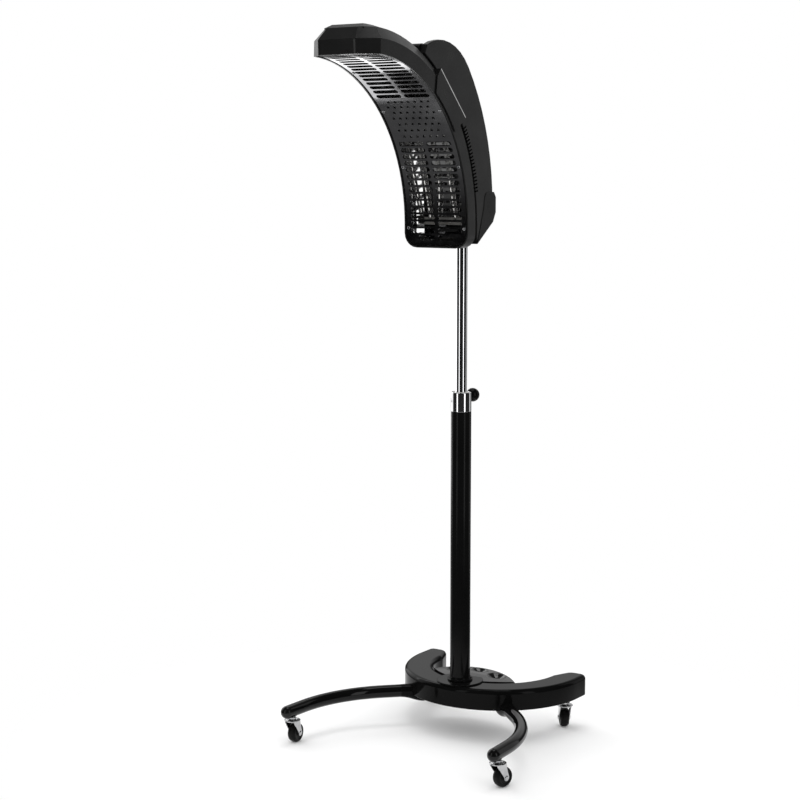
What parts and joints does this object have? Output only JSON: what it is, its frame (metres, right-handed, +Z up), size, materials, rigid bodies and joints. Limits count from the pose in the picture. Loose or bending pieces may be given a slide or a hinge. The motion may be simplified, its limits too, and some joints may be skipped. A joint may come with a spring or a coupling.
{
  "type": "hair color processor",
  "caption": "Rolling salon hair color processor: curved infrared arch with slotted grille on a tilting head, chrome telescopic mast, and crescent base with splayed legs on casters.",
  "frame": {"origin": "floor level, centre of the object's bounding box seen from above", "axes": "+Z up; -Y toward the client, the way the arch's grille faces; +X to the client's left"},
  "size_m": [0.5003, 0.5942, 1.3654],
  "materials": {
    "gloss_black": "gloss moulded plastic",
    "satin_black": "satin moulded plastic",
    "black_sheet": "black painted sheet steel",
    "black_steel": "gloss black powder coat",
    "bright_chrome": "bright chrome plate",
    "plated_steel": "zinc-plated steel",
    "grey_iron": "rough cast",
    "black_rubber": "matt",
    "black_nylon": "moulded nylon",
    "white_nylon": "moulded nylon",
    "polished_sheet": "polished reflector sheet",
    "quartz_tube": "quartz",
    "lamp_ceramic": "unglazed ceramic",
    "green_board": "coated circuit board",
    "smoked_lens": "tinted clear plastic",
    "grey_keys": "moulded plastic"
  },
  "bodies": {
    "base": {"base_cover": "gloss_black", "base_plate": "black_steel", "left_ballast": "grey_iron", "right_ballast": "grey_iron", "rear_saddle": "gloss_black", "column_pad": "gloss_black", "column_foot_ring": "gloss_black", "lower_column": "black_steel", "column_bolt": "plated_steel", "column_collar": "bright_chrome", "column_bush": "white_nylon", "left_leg": "black_steel", "right_leg": "black_steel", "left_leg_cap": "gloss_black", "right_leg_cap": "gloss_black", "left_front_caster_stem": "plated_steel", "right_front_caster_stem": "plated_steel", "left_rear_caster_stem": "plated_steel", "right_rear_caster_stem": "plated_steel"},
    "mast": {"mast_tube": "bright_chrome", "mast_guide": "white_nylon"},
    "head": {"mast_socket": "plated_steel", "left_cheek": "satin_black", "right_cheek": "satin_black", "centre_shell": "satin_black", "lower_rear_cover": "satin_black", "hinge_pin": "plated_steel", "control_panel": "gloss_black", "control_board": "green_board", "display_lens": "smoked_lens", "mains_inlet": "black_nylon"},
    "arch": {"arch_shell": "satin_black", "arch_grille": "black_sheet", "arch_reflector": "polished_sheet", "hinge_bracket": "black_steel", "left_side_bracket": "black_sheet", "right_side_bracket": "black_sheet", "lower_left_lamp": "quartz_tube", "lower_right_lamp": "quartz_tube", "upper_left_lamp": "quartz_tube", "upper_right_lamp": "quartz_tube", "lower_lamp_foot_carrier": "lamp_ceramic", "lower_lamp_head_carrier": "lamp_ceramic", "upper_lamp_foot_carrier": "lamp_ceramic", "upper_lamp_head_carrier": "lamp_ceramic"},
    "clamp": {"clamp_knob": "black_rubber"},
    "rocker": {"power_rocker": "grey_keys"},
    "left_front_fork": {"left_front_caster_fork": "bright_chrome"},
    "left_front_wheel": {"left_front_caster_wheel": "black_rubber"},
    "right_front_fork": {"right_front_caster_fork": "bright_chrome"},
    "right_front_wheel": {"right_front_caster_wheel": "black_rubber"},
    "left_rear_fork": {"left_rear_caster_fork": "bright_chrome"},
    "left_rear_wheel": {"left_rear_caster_wheel": "black_rubber"},
    "right_rear_fork": {"right_rear_caster_fork": "bright_chrome"},
    "right_rear_wheel": {"right_rear_caster_wheel": "black_rubber"},
    "key_1": {"panel_key_1": "grey_keys"},
    "key_2": {"panel_key_2": "grey_keys"},
    "key_3": {"panel_key_3": "grey_keys"},
    "key_4": {"panel_key_4": "grey_keys"}
  },
  "joints": [
    {"name": "left_front_swivel", "type": "hinge", "parent": "base", "child": "left_front_fork", "pos_m": [-0.23422, -0.13096, 0.047], "axis": [0, 0, 1], "continuous": true},
    {"name": "left_front_roll", "type": "hinge", "parent": "left_front_fork", "child": "left_front_wheel", "pos_m": [-0.23568, -0.11905, 0.019], "axis": [0.9925, 0.1219, 0], "continuous": true},
    {"name": "right_front_swivel", "type": "hinge", "parent": "base", "child": "right_front_fork", "pos_m": [0.23422, -0.13096, 0.047], "axis": [0, 0, 1], "continuous": true},
    {"name": "right_front_roll", "type": "hinge", "parent": "right_front_fork", "child": "right_front_wheel", "pos_m": [0.23732, -0.11937, 0.019], "axis": [0.9659, -0.2588, 0], "continuous": true},
    {"name": "left_rear_swivel", "type": "hinge", "parent": "base", "child": "left_rear_fork", "pos_m": [-0.159, 0.25606, 0.047], "axis": [0, 0, 1], "continuous": true},
    {"name": "left_rear_roll", "type": "hinge", "parent": "left_rear_fork", "child": "left_rear_wheel", "pos_m": [-0.1549, 0.26734, 0.019], "axis": [0.9397, -0.342, 0], "continuous": true},
    {"name": "right_rear_swivel", "type": "hinge", "parent": "base", "child": "right_rear_fork", "pos_m": [0.159, 0.25606, 0.047], "axis": [0, 0, 1], "continuous": true},
    {"name": "right_rear_roll", "type": "hinge", "parent": "right_rear_fork", "child": "right_rear_wheel", "pos_m": [0.15178, 0.26564, 0.019], "axis": [0.7986, 0.6018, 0], "continuous": true},
    {"name": "clamp_knob_turn", "type": "hinge", "parent": "base", "child": "clamp", "pos_m": [0, 0.13806, 0.675], "axis": [0, 1, 0], "range_deg": [-180, 180]},
    {"name": "mast_slide", "type": "slide", "parent": "base", "child": "mast", "axis": [0, 0, 1], "range_m": [-0.25, 0.15]},
    {"name": "head_swivel", "type": "hinge", "parent": "mast", "child": "head", "pos_m": [0, 0.11206, 1], "axis": [0, 0, 1], "range_deg": [-90, 90]},
    {"name": "arch_tilt", "type": "hinge", "parent": "head", "child": "arch", "pos_m": [0, -0.09071, 1.32692], "axis": [-1, 0, 0], "range_deg": [0, 35]},
    {"name": "key_1_press", "type": "slide", "parent": "head", "child": "key_1", "axis": [0, -0.9613, -0.2756], "range_m": [0, 0.001], "stiffness_N_per_m": 300, "springref_m": -0.002},
    {"name": "key_2_press", "type": "slide", "parent": "head", "child": "key_2", "axis": [0, -0.9613, -0.2756], "range_m": [0, 0.001], "stiffness_N_per_m": 300, "springref_m": -0.002},
    {"name": "key_3_press", "type": "slide", "parent": "head", "child": "key_3", "axis": [0, -0.9613, -0.2756], "range_m": [0, 0.001], "stiffness_N_per_m": 300, "springref_m": -0.002},
    {"name": "key_4_press", "type": "slide", "parent": "head", "child": "key_4", "axis": [0, -0.9613, -0.2756], "range_m": [0, 0.001], "stiffness_N_per_m": 300, "springref_m": -0.002},
    {"name": "power_rocker_turn", "type": "hinge", "parent": "head", "child": "rocker", "pos_m": [0.028, 0.14006, 1.0485], "axis": [1, 0, 0], "range_deg": [-8, 8]}
  ]
}
